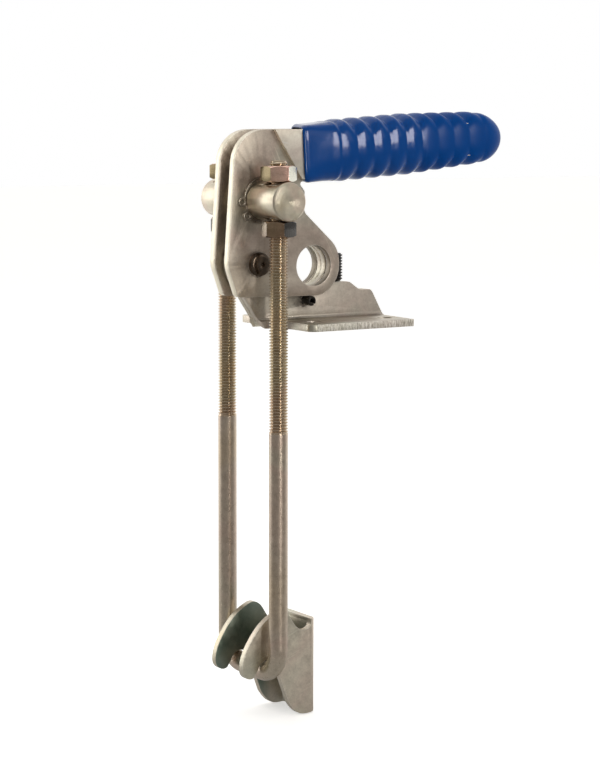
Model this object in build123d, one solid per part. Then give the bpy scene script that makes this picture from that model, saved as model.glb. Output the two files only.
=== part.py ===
from build123d import *
import os
import math

# Heavy-duty over-centre latch clamp with a threaded U-bolt and a hook keeper.
# Millimetres. +Z up, +X towards the handle's free end, +Y away from the near side.
# The origin is the centre of the four base holes, on the underside of the base
# flanges. The construction below is written with X measured from the lever's
# pivot axis, and every piece is shifted by -PATTERN_X when it is written.

os.makedirs("parts", exist_ok=True)

# --------------------------------------------------------- shared dimensions
PATTERN_X = 40.0          # pivot axis to centre of the base hole pattern
SHEET = 3.0               # sheet thickness of brackets and keeper
PLATE_T = 3.5             # lever plate thickness
GAP = 0.9                 # web to lever plate
PLATE_IN = SHEET + GAP    # lever plate inner face
PLATE_OUT = PLATE_IN + PLATE_T

PIVOT_Z = 27.4
PIVOT_R = 5.0
BUSH_R = 6.5
LOCK_X, LOCK_Z, LOCK_R = 27.4, 25.9, 8.7    # padlock hole through webs and plates
STOP_X, STOP_Z, STOP_R = 26.0, 11.0, 2.1    # slotted spring pin under the lever
SCREW_X, SCREW_R = 42.3, 3.95               # set screw

TRUNNION_X, TRUNNION_Z = 1.43, 53.96        # just past the pivot: over centre
TRUNNION_R = 8.0
RING_GROOVE_R = 7.6
RING_T = 1.0                                # retaining ring thickness
RING_Y0 = PLATE_OUT + 0.05                  # ring face nearer the mid-plane
RING_Y1 = RING_Y0 + RING_T

LEG_Y = 20.5              # U-bolt leg to mid-plane
THREAD_R = 4.0            # M8

DIAGONAL = math.sqrt(0.5)  # sine and cosine of 45 degrees, for quarter-arc midpoints
REACH = 40                 # half width that clears both brackets


# ------------------------------------------------------------------- helpers
def lines(*points):
    """Straight edges from each point to the next."""
    return [Line(start, end) for start, end in zip(points, points[1:])]


def polygon(points):
    return Face(Wire(lines(*points, points[0])))


def rounded(points):
    """Face in XY from (x, y, fillet radius) corners."""
    corners = []      # (arc start, arc middle or None, arc end)
    for i, (x, y, radius) in enumerate(points):
        if radius <= 0:
            corners.append(((x, y), None, (x, y)))
            continue
        before, after = points[i - 1], points[(i + 1) % len(points)]
        back = (before[0] - x, before[1] - y)
        ahead = (after[0] - x, after[1] - y)
        back_len, ahead_len = math.hypot(*back), math.hypot(*ahead)
        back = (back[0] / back_len, back[1] / back_len)
        ahead = (ahead[0] / ahead_len, ahead[1] / ahead_len)
        cosine = back[0] * ahead[0] + back[1] * ahead[1]
        half_angle = math.acos(max(-1, min(1, cosine))) / 2
        setback = radius / math.tan(half_angle)
        bisector = (back[0] + ahead[0], back[1] + ahead[1])
        depth = (radius / math.sin(half_angle) - radius) / math.hypot(*bisector)
        corners.append((
            (x + back[0] * setback, y + back[1] * setback),
            (x + bisector[0] * depth, y + bisector[1] * depth),
            (x + ahead[0] * setback, y + ahead[1] * setback),
        ))
    edges = []
    for i, (start, middle, end) in enumerate(corners):
        if middle is not None:
            edges.append(ThreePointArc(start, middle, end))
        following = corners[(i + 1) % len(corners)][0]
        if math.dist(following, end) > 1e-6:
            edges.append(Line(end, following))
    return Face(Wire(edges))


def slab_y(face, y0, y1):
    """Extrude a face drawn in (X, Z) between two Y planes."""
    plane = Plane(origin=(0, y1, 0), x_dir=(1, 0, 0), z_dir=(0, -1, 0))
    return extrude(plane * face, y1 - y0, dir=(0, -1, 0))


def slab_z(face, z0, z1):
    plane = Plane(origin=(0, 0, z0), x_dir=(1, 0, 0), z_dir=(0, 0, 1))
    return extrude(plane * face, z1 - z0, dir=(0, 0, 1))


def rod_y(x, z, radius, y0, y1):
    return Location((x, (y0 + y1) / 2, z), (90, 0, 0)) * Cylinder(radius, abs(y1 - y0))


def rod_z(x, y, radius, z0, z1):
    return Location((x, y, (z0 + z1) / 2)) * Cylinder(radius, abs(z1 - z0))


def rod_x(y, z, radius, x0, x1):
    return Location(((x0 + x1) / 2, y, z), (0, 90, 0)) * Cylinder(radius, abs(x1 - x0))


def turned_y(points, x, z):
    """Revolve (radius, y) points about the line through (x, z) along Y."""
    face = Pos(0, 0, z) * polygon([(x + radius, y) for radius, y in points])
    return revolve(face, Axis((x, 0, z), (0, 1, 0)), 360)


def turned_z(points, x, y):
    """Revolve (radius, z) points about the vertical line through (x, y)."""
    plane = Plane(origin=(x, y, 0), x_dir=(1, 0, 0), z_dir=(0, -1, 0))
    return revolve(plane * polygon(points), Axis((x, y, 0), (0, 0, 1)), 360)


def both_ends(near_half):
    """Complete a (radius, y) profile with its mirror image in y = 0."""
    return near_half + [(radius, -y) for radius, y in reversed(near_half)]


def one(shape):
    solids = shape.solids()
    return solids[0] if len(solids) == 1 else Compound(children=list(solids))


def write(name, shape):
    export_step(Pos(-PATTERN_X, 0, 0) * shape, f"parts/{name}.step")


# ------------------------------------------------------- base brackets (two L)
HOLE_DX, HOLE_DY = 36.0, 32.0   # base hole spacing along X and Y
HOLE_R = 3.3                    # M6 clearance hole
BEND_IN = 2.0                   # inside bend radius
BEND_OUT = BEND_IN + SHEET
FLANGE_Y = 28.5                 # flange reach from the mid-plane
FLANGE_X0 = 12.5                # flange's left edge
FLANGE_X1_OUTER = 64.9          # flange's right edge at its outer edge
FLANGE_X1_WEB = 66.3            # flange's right edge at the web
WEB_X0 = 5.4                    # web's left edge at the underside
EYE_R = 11.3                    # web round the pivot
BOSS_R = 12.0                   # web round the padlock hole
UPPER_REACH = 38.0              # the web's upper part ends this far from the pivot


def web_profile():
    """Web silhouette as a wide slab: pivot eye, padlock-hole boss, stepped shoulder."""
    # the left edge runs from (WEB_X0, 0) tangent to the eye
    distance = math.hypot(WEB_X0, PIVOT_Z)
    angle = math.atan2(PIVOT_Z, -WEB_X0) + math.asin(EYE_R / distance)
    length = math.sqrt(distance ** 2 - EYE_R ** 2)
    tangent_point = (WEB_X0 + length * math.cos(angle), length * math.sin(angle), 0)
    lower = slab_y(rounded([
        (WEB_X0, -1.0, 0), (67.4, -1.0, 0), (65.4, 4.6, 6.0), (60.9, 12.8, 0),
        (59.7, 14.3, 1.6), (53.9, 14.35, 4.0), (48.5, 18.1, 3.5), (30.0, 18.1, 0),
        (0.0, 25.0, 0), tangent_point,
    ]), -REACH, REACH)
    eye = rod_y(0, PIVOT_Z, EYE_R, -REACH, REACH)
    boss = rod_y(LOCK_X, LOCK_Z, BOSS_R, -REACH, REACH)
    bridge = slab_y(polygon([
        (0, PIVOT_Z + EYE_R), (0, PIVOT_Z - EYE_R),
        (LOCK_X, LOCK_Z - BOSS_R), (LOCK_X, LOCK_Z + BOSS_R),
    ]), -REACH, REACH)
    upper = (eye + boss + bridge) & rod_y(0, PIVOT_Z, UPPER_REACH, -REACH, REACH)
    return lower + upper


def bracket(side):
    """L bracket; side is -1 for near, +1 for far."""
    top = 45

    def bend(radius):
        """Middle of the bend arc of this radius, in (Y, Z)."""
        return (side * (BEND_OUT - radius * DIAGONAL), BEND_OUT - radius * DIAGONAL)

    # L cross-section in (Y, Z)
    section = Face(Wire([
        *lines((0, top), (side * SHEET, top), (side * SHEET, BEND_OUT)),
        ThreePointArc((side * SHEET, BEND_OUT), bend(BEND_IN), (side * BEND_OUT, SHEET)),
        *lines((side * BEND_OUT, SHEET), (side * REACH, SHEET), (side * REACH, 0),
               (side * BEND_OUT, 0)),
        ThreePointArc((side * BEND_OUT, 0), bend(BEND_OUT), (0, BEND_OUT)),
        Line((0, BEND_OUT), (0, top)),
    ]))
    plane = Plane(origin=(-25, 0, 0), x_dir=(0, 1, 0), z_dir=(1, 0, 0))
    body = extrude(plane * section, 100, dir=(1, 0, 0))
    plan = slab_z(rounded([
        (-20, 0, 0), (-20, side * BEND_OUT, 0), (WEB_X0, side * BEND_OUT, 2.0),
        (FLANGE_X0, side * 12.4, 5.0), (FLANGE_X0, side * FLANGE_Y, 3.6),
        (FLANGE_X1_OUTER, side * FLANGE_Y, 0.8), (FLANGE_X1_WEB, 0, 0),
    ]), -1, 50)
    body = (body & plan) & web_profile()
    for x, z, radius in ((LOCK_X, LOCK_Z, LOCK_R), (0, PIVOT_Z, BUSH_R),
                         (STOP_X, STOP_Z, STOP_R)):
        body = body - rod_y(x, z, radius, -REACH, REACH)
    for x in (PATTERN_X - HOLE_DX / 2, PATTERN_X + HOLE_DX / 2):
        body = body - rod_z(x, side * HOLE_DY / 2, HOLE_R, -5, 8)
    return body


# --------------------------------------------------------- bush and cross pins
BUSH_BORE = PIVOT_R + 0.05
BUSH_HALF = 3.8           # half length
PIN_HALF = 9.7            # pivot pin half length
STOP_HALF = 8.6           # spring pin half length
STOP_BORE = 1.15


def pivot_bush():
    """Bush pressed through both webs, a little longer than they are thick."""
    return turned_y(both_ends([(BUSH_BORE, -BUSH_HALF), (BUSH_R, -BUSH_HALF)]), 0, PIVOT_Z)


def pivot_pin():
    """Rounded ends with small centre dimples."""
    return turned_y(both_ends([
        (0, -PIN_HALF + 0.5), (0.9, -PIN_HALF), (3.4, -PIN_HALF), (4.2, -PIN_HALF + 0.2),
        (4.75, -PIN_HALF + 0.65), (PIVOT_R, -PIN_HALF + 1.4),
    ]), 0, PIVOT_Z)


def stop_pin():
    """Spring pin, slotted along its length towards lower right."""
    pin = turned_y(both_ends([
        (STOP_BORE, -STOP_HALF), (STOP_R - 0.35, -STOP_HALF), (STOP_R, -STOP_HALF + 0.6),
    ]), STOP_X, STOP_Z)
    slot = Pos(1.6, 0, 0) * Box(2.4, 2 * STOP_HALF + 2, 0.7)
    return pin - Location((STOP_X, 0, STOP_Z), (0, 50, 0)) * slot


# -------------------------------------------------------------- lever plates
TRUNNION_BORE = TRUNNION_R + 0.04

PLATE_OUTLINE = [         # x, z, corner radius
    (-10.2, 13.9, 2.2), (27.4, 13.15, 0), (40.3, 13.15, 12.7), (40.3, 32.55, 12.5),
    (22.4, 48.7, 4.0), (22.8, 57.3, 1.6), (20.2, 60.5, 1.0), (23.0, 63.0, 1.0),
    (42.0, 67.0, 6.0), (62.0, 68.5, 3.0), (62.0, 82.3, 3.0), (42.0, 81.0, 6.0),
    (26.0, 83.2, 0), (-10.9, 83.2, 14.4), (-14.9, 27.0, 12.0),
]


def lever_plate(y0, y1):
    plate = slab_y(rounded(PLATE_OUTLINE), y0, y1)
    for x, z, radius in ((LOCK_X, LOCK_Z, LOCK_R), (0, PIVOT_Z, PIVOT_R),
                         (TRUNNION_X, TRUNNION_Z, TRUNNION_BORE)):
        plate = plate - rod_y(x, z, radius, y0 - 1, y1 + 1)
    # seat for the set screw that sits in the gap between the two plates
    return plate - rod_z(SCREW_X, 0, SCREW_R + 0.01, 10, 40)


# ------------------------------------------------------------- handle strap
STRAP_T = 1.8
STRAP_OUT = PLATE_OUT + STRAP_T
STRAP_IN = PLATE_OUT + 0.02
STRAP_END = 120.5                      # outside of the strap's hairpin bend
HAIRPIN_X = STRAP_END - STRAP_OUT      # centre of the bend


def strap_outline(clearance):
    """Side outline (x, z, corner radius) of the strap from x = 25, grown by clearance."""
    end = STRAP_END + clearance
    lower = [(25.0, 62.65, 0), (42.0, 66.6, 8.0), (109.0, 71.6, 4.0), (end, 74.4, 3.5)]
    upper = [(end, 84.0, 3.5), (109.0, 85.8, 4.0), (42.0, 81.4, 8.0), (25.0, 83.3, 0)]
    return ([(x, z - clearance, radius) for x, z, radius in lower]
            + [(x, z + clearance, radius) for x, z, radius in upper])


def hairpin(radius, side):
    """Half circle round the strap's end, starting on the given side (-1 or +1)."""
    return ThreePointArc((HAIRPIN_X, side * radius), (HAIRPIN_X + radius, 0),
                         (HAIRPIN_X, -side * radius))


def handle_strap():
    """One strip folded like a hairpin; its legs lie on the outside of the plates."""
    outline = [(6.9, 83.25, 0), (20.5, 62.35, 0)] + strap_outline(0)
    side_slab = slab_y(rounded(outline), -STRAP_OUT, STRAP_OUT)
    plan = Face(Wire([
        Line((0, -STRAP_OUT), (HAIRPIN_X, -STRAP_OUT)),
        hairpin(STRAP_OUT, -1),
        *lines((HAIRPIN_X, STRAP_OUT), (0, STRAP_OUT), (0, STRAP_IN), (HAIRPIN_X, STRAP_IN)),
        hairpin(STRAP_IN, 1),
        *lines((HAIRPIN_X, -STRAP_IN), (0, -STRAP_IN), (0, -STRAP_OUT)),
    ]))
    return side_slab & slab_z(plan, 50, 100)


# --------------------------------------------------------------------- grip
GRIP_X0, GRIP_Z0 = 20.9, 72.58    # handle axis where the grip starts
GRIP_SLOPE = math.radians(3.95)
GRIP_LEN = 109.2
CAVITY_CLEAR = 0.03               # clearance round the strap

RIB0, RIB_PITCH, RIBS = 22.6, 8.5, 9
LAST_RIB = RIB0 + (RIBS - 1) * RIB_PITCH
TAPER_START = 57.0

# half size before the taper, taper per mm, half size where the tip starts, tip exponent
CREST_WIDTH = (11.2, 0.009, 10.9, 2.6)
CREST_HEIGHT = (13.3, 0.0476, 11.7, 2.1)

MOUTH_STATIONS = [        # distance along axis, half width, half height, corner radius
    (0.4, 10.5, 11.9, 3.2), (6, 10.65, 12.35, 4.6), (13, 10.7, 12.5, 5.4),
    (RIB0 - 5.2, 10.85, 12.5, 6.2),
]
# Ribs are deep above and below, and fade out on the flanks.
# distance from the crest, drop in half width, drop in half height, corner radius
RIB_LEAD_IN = [(-4.3, 0.4, 1.1, 6.8)]
RIB_RISE = [(-3.6, 0.25, 1.15, 7.4), (-2.0, 0.06, 0.2, 8.0), (0, 0, 0, 8.2)]
RIB_FALL = [(2.0, 0.06, 0.2, 8.0), (3.6, 0.25, 1.15, 7.4), (4.25, 0.4, 2.0, 7.0)]
TIP_STATIONS = [          # distance along axis, drop in half height
    (92.6, 0.15), (94.6, 0.6), (97.0, 0.2), (100.0, 0.0), (103.0, 0.0),
    (105.5, 0.0), (107.2, 0.0), (108.4, 0.0), (108.9, 0.0),
]
TIP_WIDTH_SHARE = 0.3     # the drop in half width, as a share of that in half height


def crest(distance, full, taper, tip, exponent):
    """Half size of the grip over the rib crests, rounding off beyond the last rib."""
    if distance > LAST_RIB:
        share = (distance - LAST_RIB) / (GRIP_LEN - LAST_RIB)
        return tip * math.sqrt(1 - share ** exponent)
    return full - max(0.0, distance - TAPER_START) * taper


def grip_stations():
    stations = list(MOUTH_STATIONS)
    for i in range(RIBS):
        centre = RIB0 + i * RIB_PITCH
        half_w, half_h = crest(centre, *CREST_WIDTH), crest(centre, *CREST_HEIGHT)
        profile = RIB_LEAD_IN + RIB_RISE if i == 0 else RIB_RISE
        if i < RIBS - 1:
            profile = profile + RIB_FALL
        for offset, drop_w, drop_h, radius in profile:
            stations.append((centre + offset, half_w - drop_w, half_h - drop_h, radius))
    for distance, drop in TIP_STATIONS:
        half_w = crest(distance, *CREST_WIDTH) - drop * TIP_WIDTH_SHARE
        half_h = crest(distance, *CREST_HEIGHT) - drop
        stations.append((distance, half_w, half_h, min(8.0, 0.88 * min(half_w, half_h))))
    return stations


def grip_section(distance, half_w, half_h, radius):
    """Section across the handle axis; its local x lies along Y."""
    cos_slope, sin_slope = math.cos(GRIP_SLOPE), math.sin(GRIP_SLOPE)
    plane = Plane(origin=(GRIP_X0 + distance * cos_slope, 0, GRIP_Z0 + distance * sin_slope),
                  x_dir=(0, 1, 0), z_dir=(cos_slope, 0, sin_slope))
    return plane * RectangleRounded(2 * half_w, 2 * half_h, radius)


def grip():
    body = loft([grip_section(*station) for station in grip_stations()], ruled=True)
    # hollow for the strap, blind at the tip
    half = STRAP_OUT + CAVITY_CLEAR
    outline = ([(10.0, 61.0, 0)] + strap_outline(CAVITY_CLEAR)
               + [(10.0, 83.3 + CAVITY_CLEAR, 0)])
    plan = Face(Wire([
        Line((5, -half), (HAIRPIN_X, -half)),
        hairpin(half, -1),
        *lines((HAIRPIN_X, half), (5, half), (5, -half)),
    ]))
    body = body - (slab_y(rounded(outline), -half, half) & slab_z(plan, 50, 100))
    # slanted mouth: the far side of the grip starts a little further along
    mouth = slab_z(polygon([(0, -15), (20.3, -15), (27.7, 15), (0, 15)]), 40, 110)
    return one(body - mouth)


# --------------------------------------------------- set screw (closing stop)
SCREW_Z0, SCREW_LEN = 18.35, 12.0      # M8 x 12
SOCKET_AF, SOCKET_DEPTH = 4.0, 4.0


def stop_screw():
    top = SCREW_Z0 + SCREW_LEN
    screw = turned_z([
        (0, SCREW_Z0), (2.75, SCREW_Z0), (SCREW_R, SCREW_Z0 + 1.1), (SCREW_R, top - 0.9),
        (3.1, top), (0, top),
    ], SCREW_X, 0)
    hexagon = RegularPolygon(SOCKET_AF / 2, 6, major_radius=False)
    return screw - Pos(SCREW_X, 0, top - SOCKET_DEPTH) * extrude(hexagon, SOCKET_DEPTH + 1)


# ----------------------------------------------------- trunnion and its rings
TRUNNION_HALF = 29.2
CROSS_R = 4.3                          # cross holes for the U-bolt legs
GROOVE_Y0, GROOVE_Y1 = RING_Y0 - 0.03, RING_Y1 + 0.07

RING_BORE = RING_GROOVE_R + 0.04
RING_R = 9.5
RING_OFFSET = 0.45                     # outside shifted away from the opening
RING_OPENING = math.radians(202.0)     # direction of the opening, from +X towards +Z
OPENING_HALF = math.radians(9.0)
LUG_CENTRE_R, LUG_R, LUG_HOLE_R = 9.75, 1.9, 0.85
LUG_ANGLE = 19.0                       # degrees either side of the opening


def trunnion():
    body = turned_y(both_ends([
        (0, -TRUNNION_HALF + 0.35), (1.3, -TRUNNION_HALF), (TRUNNION_R - 0.6, -TRUNNION_HALF),
        (TRUNNION_R, -TRUNNION_HALF + 0.6), (TRUNNION_R, -GROOVE_Y1),
        (RING_GROOVE_R, -GROOVE_Y1), (RING_GROOVE_R, -GROOVE_Y0), (TRUNNION_R, -GROOVE_Y0),
    ]), TRUNNION_X, TRUNNION_Z)
    for y in (-LEG_Y, LEG_Y):
        body = body - rod_z(TRUNNION_X, y, CROSS_R, 40, 70)
    return body


def retaining_ring(y0, y1):
    """External retaining ring for a 16 mm shaft, opening turned to the left."""

    def polar(radius, angle):
        return (TRUNNION_X + radius * math.cos(angle), TRUNNION_Z + radius * math.sin(angle))

    ring = rod_y(*polar(-RING_OFFSET, RING_OPENING), RING_R, y0, y1)
    lugs = [polar(LUG_CENTRE_R, RING_OPENING + math.radians(degrees))
            for degrees in (-LUG_ANGLE, LUG_ANGLE)]
    for x, z in lugs:
        ring = ring + rod_y(x, z, LUG_R, y0, y1)
    ring = ring - rod_y(TRUNNION_X, TRUNNION_Z, RING_BORE, y0 - 1, y1 + 1)
    for x, z in lugs:
        ring = ring - rod_y(x, z, LUG_HOLE_R, y0 - 1, y1 + 1)
    # opening between the lugs
    wedge = polygon([polar(2, RING_OPENING), polar(16, RING_OPENING - OPENING_HALF),
                     polar(16, RING_OPENING + OPENING_HALF)])
    return one(ring - slab_y(wedge, y0 - 1, y1 + 1))


# -------------------------------------------------------------------- U-bolt
SHANK_R = 3.95            # plain shank
THREAD_END_Z = -41.0
SHANK_TOP_Z = THREAD_END_Z - 1.0
UBOLT_TOP = 70.6
UBOLT_BOTTOM_Z = -145.7   # axis of the straight bottom run
UBOLT_BEND_R = 12.0


def ubolt():
    bend_z = UBOLT_BOTTOM_Z + UBOLT_BEND_R
    run_y = LEG_Y - UBOLT_BEND_R       # half length of the bottom run
    inset = UBOLT_BEND_R * (1 - DIAGONAL)

    def at(y, z):
        return (TRUNNION_X, y, z)

    def bend_middle(side):
        return at(side * (LEG_Y - inset), UBOLT_BOTTOM_Z + inset)

    path = Wire([
        Line(at(-LEG_Y, SHANK_TOP_Z), at(-LEG_Y, bend_z)),
        ThreePointArc(at(-LEG_Y, bend_z), bend_middle(-1), at(-run_y, UBOLT_BOTTOM_Z)),
        Line(at(-run_y, UBOLT_BOTTOM_Z), at(run_y, UBOLT_BOTTOM_Z)),
        ThreePointArc(at(run_y, UBOLT_BOTTOM_Z), bend_middle(1), at(LEG_Y, bend_z)),
        Line(at(LEG_Y, bend_z), at(LEG_Y, SHANK_TOP_Z)),
    ])
    section = Plane(origin=at(-LEG_Y, SHANK_TOP_Z), z_dir=(0, 0, -1)) * Circle(SHANK_R)
    bolt = sweep(section, path=path)
    # threaded legs, overlapping the shank a little
    for y in (-LEG_Y, LEG_Y):
        bolt = bolt + turned_z([
            (0, THREAD_END_Z - 1.5), (SHANK_R, THREAD_END_Z - 1.5),
            (SHANK_R, THREAD_END_Z - 0.7), (THREAD_R, THREAD_END_Z + 1.0),
            (THREAD_R, UBOLT_TOP - 1.0), (3.1, UBOLT_TOP), (0, UBOLT_TOP),
        ], TRUNNION_X, y)
    return one(bolt)


# ---------------------------------------------------------------------- nuts
NUT_AF, NUT_H = 13.0, 6.5
NUT_BORE = THREAD_R + 0.05
NUT_GAP = 0.1             # nut to trunnion
UPPER_NUT_Z = TRUNNION_Z + TRUNNION_R + NUT_GAP
LOWER_NUT_Z = TRUNNION_Z - TRUNNION_R - NUT_GAP - NUT_H

NUTS = {                  # leg y, underside z, turn in degrees
    "upper_nut_near": (-LEG_Y, UPPER_NUT_Z, 1.5),
    "lower_nut_near": (-LEG_Y, LOWER_NUT_Z, -14.0),
    "upper_nut_far": (LEG_Y, UPPER_NUT_Z, 9.0),
    "lower_nut_far": (LEG_Y, LOWER_NUT_Z, 22.0),
}


def nut(y, z0, turn):
    """M8 hexagon nut, chamfered on both faces; turn 0 puts corners on the Y axis."""
    hexagon = extrude(RegularPolygon(NUT_AF / 2, 6, major_radius=False, rotation=30), NUT_H)
    hexagon = Location((TRUNNION_X, y, z0), (0, 0, turn)) * hexagon
    barrel_r = NUT_AF / 2 / math.cos(math.radians(30)) + 0.01
    face_r = NUT_AF / 2 - 0.25
    z1 = z0 + NUT_H
    barrel = turned_z([
        (NUT_BORE + 0.35, z0), (face_r, z0), (barrel_r, z0 + 0.72), (barrel_r, z1 - 0.72),
        (face_r, z1), (NUT_BORE + 0.35, z1), (NUT_BORE, z1 - 0.4), (NUT_BORE, z0 + 0.4),
    ], TRUNNION_X, y)
    return one(hexagon & barrel)


# -------------------------------------------------------------------- keeper
KEEPER_IN = 9.5           # inner faces of the cheeks
KEEPER_OUT = KEEPER_IN + SHEET
KEEPER_BACK = 26.3        # mounting face
KEEPER_HOLE_R = 3.3
KEEPER_HOLE_Z = (-136.5, -154.5)

HOOK_RIM = [              # x, z from the hook's tip over the top to the back
    (-5.4, -146.9), (-8.0, -147.45), (-10.6, -145.6), (-11.15, -141.2), (-8.7, -134.3),
    (-5.3, -129.1), (-1.1, -124.4), (4.2, -120.9), (7.7, -119.75), (10.5, -120.8),
    (12.7, -123.3), (15.0, -126.8), (17.8, -129.0), (20.7, -129.4), (22.7, -128.3),
    (23.35, -126.2),
]
LOWER_RIM = [             # x, z from the back to the foot of the hook's throat
    (24.4, -165.9), (20.6, -166.15), (17.4, -165.7), (14.4, -163.5), (11.7, -159.9),
]


def keeper():
    """Folded channel: two hook-shaped cheeks joined by a flat back."""
    back_in = KEEPER_BACK - SHEET
    past_back = KEEPER_BACK + 1
    throat_right, throat_left = (5.85, -144.4), (-3.45, -143.9)
    channel = slab_z(rounded([
        (-16, -KEEPER_OUT, 0), (KEEPER_BACK, -KEEPER_OUT, 4.0),
        (KEEPER_BACK, KEEPER_OUT, 4.0), (-16, KEEPER_OUT, 0),
        (-16, KEEPER_IN, 0), (back_in, KEEPER_IN, 1.0),
        (back_in, -KEEPER_IN, 1.0), (-16, -KEEPER_IN, 0),
    ]), -170, -115)
    cheek = Face(Wire([
        Spline(HOOK_RIM),
        *lines(HOOK_RIM[-1], (23.35, -125.1), (past_back, -125.1), (past_back, -165.6),
               LOWER_RIM[0]),
        Spline(LOWER_RIM),
        *lines(LOWER_RIM[-1], (6.9, -146.9), throat_right),
        ThreePointArc(throat_right, (TRUNNION_X, -140.2), throat_left),
        Line(throat_left, HOOK_RIM[0]),
    ]))
    body = channel & slab_y(cheek, -20, 20)
    for z in KEEPER_HOLE_Z:
        body = body - rod_x(0, z, KEEPER_HOLE_R, 15, 35)
    return one(body)


# --------------------------------------------------------------------- write
write("base_bracket_near", bracket(-1))
write("base_bracket_far", bracket(1))
write("pivot_bush", pivot_bush())
write("stop_pin", stop_pin())
write("lever_plate_near", lever_plate(-PLATE_OUT, -PLATE_IN))
write("lever_plate_far", lever_plate(PLATE_IN, PLATE_OUT))
write("pivot_pin", pivot_pin())
write("handle_strap", handle_strap())
write("grip", grip())
write("stop_screw", stop_screw())
write("trunnion", trunnion())
write("retaining_ring_near", retaining_ring(-RING_Y1, -RING_Y0))
write("retaining_ring_far", retaining_ring(RING_Y0, RING_Y1))
write("ubolt", ubolt())
for nut_name, placement in NUTS.items():
    write(nut_name, nut(*placement))
write("keeper", keeper())
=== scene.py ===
"""A U-bolt latch: two bracket plates, a lever with a blue ribbed grip, a threaded U-bolt, a keeper.

The grip runs along +X and rises slightly. The U-bolt hangs down -Z, its two legs side by
side across Y. The near parts are on -Y, the camera's side. Shapes are in millimetres with X
measured from the lever's pivot; materials, lights and the floor are in the frame's metres.
"""

import math

import bmesh
import bpy
from mathutils import Matrix, Vector


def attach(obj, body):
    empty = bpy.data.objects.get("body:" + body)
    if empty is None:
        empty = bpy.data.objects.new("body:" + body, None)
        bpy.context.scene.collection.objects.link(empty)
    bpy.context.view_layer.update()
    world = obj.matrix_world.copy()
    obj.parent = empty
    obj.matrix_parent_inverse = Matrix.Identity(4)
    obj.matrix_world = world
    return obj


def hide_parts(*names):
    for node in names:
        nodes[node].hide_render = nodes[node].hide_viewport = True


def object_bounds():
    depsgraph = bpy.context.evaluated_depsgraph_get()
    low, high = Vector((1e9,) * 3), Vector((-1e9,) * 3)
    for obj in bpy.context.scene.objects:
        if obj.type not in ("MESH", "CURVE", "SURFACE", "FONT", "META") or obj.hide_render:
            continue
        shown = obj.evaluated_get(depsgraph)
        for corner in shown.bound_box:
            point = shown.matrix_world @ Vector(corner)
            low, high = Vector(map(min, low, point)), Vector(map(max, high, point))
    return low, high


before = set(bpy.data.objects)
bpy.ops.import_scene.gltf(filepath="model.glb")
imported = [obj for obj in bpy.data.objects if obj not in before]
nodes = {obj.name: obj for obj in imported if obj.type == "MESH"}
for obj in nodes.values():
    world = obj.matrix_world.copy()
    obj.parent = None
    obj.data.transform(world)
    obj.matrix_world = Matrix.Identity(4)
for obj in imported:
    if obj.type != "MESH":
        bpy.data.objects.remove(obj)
cad_lo, cad_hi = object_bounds()
scene = bpy.context.scene

# ---------------------------------------------------------------- dimensions
PIVOT_OFFSET = 40.0          # the pivot lies this far towards -X from the frame's origin
THREAD_PITCH = 1.25          # U-bolt and set screw
UBOLT_X = 1.43               # plane of the U-bolt, and axis of the trunnion
TRUNNION_Z = 53.96
BUSH_Z = 27.4
BRACKET_FACE_Y = 0.0285      # metres, outermost faces of the brackets

# grip: s is the distance along its axis from the mouth
GRIP_X, GRIP_Z = 20.9, 72.58
GRIP_TILT = math.radians(3.95)
GRIP_LENGTH = 109.2
GRIP_MATT_START = 59.0       # s where the gloss begins to drop

ROOM_YAW = 0.5758            # horizontal direction from the camera's side to the white wall
ROOM_AWAY = (math.sin(ROOM_YAW), math.cos(ROOM_YAW), 0.0)


def to_frame(x, y, z):
    """A point in pivot millimetres, in the frame's metres."""
    return ((x - PIVOT_OFFSET) / 1000.0, y / 1000.0, z / 1000.0)


def clamp01(t):
    return max(0.0, min(1.0, t))


def ease(value, start=0.0, length=1.0):
    """Smooth step from 0 at start to 1 at start + length."""
    t = clamp01((value - start) / length)
    return t * t * (3 - 2 * t)


def stations(start, stop, step):
    """Values from start, stepping up or down, that stay short of stop."""
    while (stop - start) * step > 0:
        yield start
        start += step


# -------------------------------------------------------------- node helpers
class Nodes:
    """Builds shader nodes; any input may be a value or another node's socket."""

    def __init__(self, tree):
        self.tree = tree
        tree.nodes.clear()

    def node(self, kind, **settings):
        node = self.tree.nodes.new(kind)
        for key, value in settings.items():
            setattr(node, key, value)
        return node

    def feed(self, socket, value):
        if isinstance(value, bpy.types.NodeSocket):
            self.tree.links.new(value, socket)
        elif socket.type == "RGBA":
            socket.default_value = (*value, 1.0)
        else:
            socket.default_value = value

    def texcoord(self, kind):
        return self.node("ShaderNodeTexCoord").outputs[kind]

    def separate(self, vector):
        node = self.node("ShaderNodeSeparateXYZ")
        self.feed(node.inputs[0], vector)
        return node.outputs

    def math(self, operation, *values):
        node = self.node("ShaderNodeMath", operation=operation)
        for socket, value in zip(node.inputs, values):
            self.feed(socket, value)
        return node.outputs[0]

    def add(self, a, b):
        return self.math("ADD", a, b)

    def times(self, a, b):
        return self.math("MULTIPLY", a, b)

    def vector_math(self, operation, a, b):
        node = self.node("ShaderNodeVectorMath", operation=operation)
        self.feed(node.inputs[0], a)
        self.feed(node.inputs[1], b)
        return node.outputs[1 if operation == "DOT_PRODUCT" else 0]

    def remap(self, value, span, to=(0.0, 1.0), interpolation="LINEAR"):
        """Maps the span onto the two values of to, clamped."""
        node = self.node("ShaderNodeMapRange", interpolation_type=interpolation)
        for i, entry in enumerate((value, *span, *to)):
            self.feed(node.inputs[i], entry)
        return node.outputs[0]


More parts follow.
